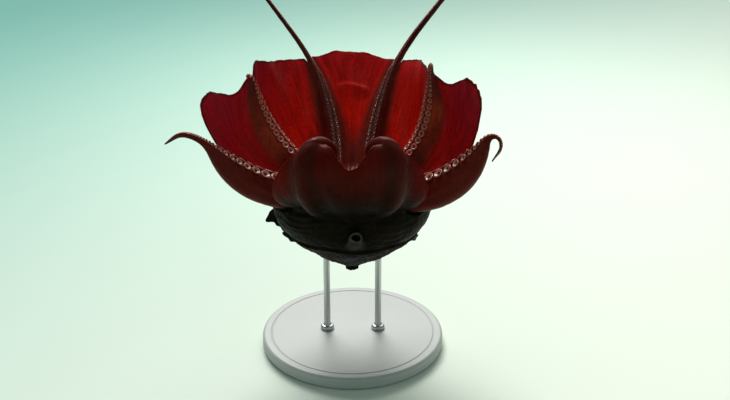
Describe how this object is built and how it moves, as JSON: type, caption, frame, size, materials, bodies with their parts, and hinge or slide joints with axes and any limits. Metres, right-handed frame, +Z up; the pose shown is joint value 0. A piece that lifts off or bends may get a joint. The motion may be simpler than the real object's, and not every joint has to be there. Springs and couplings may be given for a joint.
{
  "type": "octopus",
  "caption": "Still life-size octopus, mantle down, arms raised and joined by a deep cup of web, held over a flat base by rods.",
  "frame": {"origin": "centre of the underside of the display stand's round base", "axes": "+Z up, through the mantle tip and the mouth; +Y towards the animal's back (dorsal side); +X towards its left"},
  "size_m": [0.3104, 0.2654, 0.3662],
  "materials": {
    "skin": "moist, smooth, deep red web to near-black body",
    "eye": "wet gloss",
    "stand_base": "satin",
    "stand_rod": "brushed"
  },
  "bodies": {
    "root": {"arm_left_1_base": "skin", "arm_left_1_middle": "skin", "arm_left_1_tip": "skin", "arm_left_2_base": "skin", "arm_left_2_middle": "skin", "arm_left_2_tip": "skin", "arm_left_3_base": "skin", "arm_left_3_middle": "skin", "arm_left_3_tip": "skin", "arm_left_4_base": "skin", "arm_left_4_middle": "skin", "arm_left_4_tip": "skin", "arm_right_1_base": "skin", "arm_right_1_middle": "skin", "arm_right_1_tip": "skin", "arm_right_2_base": "skin", "arm_right_2_middle": "skin", "arm_right_2_tip": "skin", "arm_right_3_base": "skin", "arm_right_3_middle": "skin", "arm_right_3_tip": "skin", "arm_right_4_base": "skin", "arm_right_4_middle": "skin", "arm_right_4_tip": "skin", "web_back": "skin", "web_left_12": "skin", "web_right_12": "skin", "web_left_23": "skin", "web_right_23": "skin", "web_left_34": "skin", "web_right_34": "skin", "web_front": "skin", "head": "skin", "mantle": "skin", "funnel": "skin", "fringe_left": "skin", "fringe_right": "skin", "eye_left": "eye", "eye_right": "eye", "stand_base": "stand_base", "stand_rod_left": "stand_rod", "stand_rod_right": "stand_rod"}
  },
  "joints": []
}
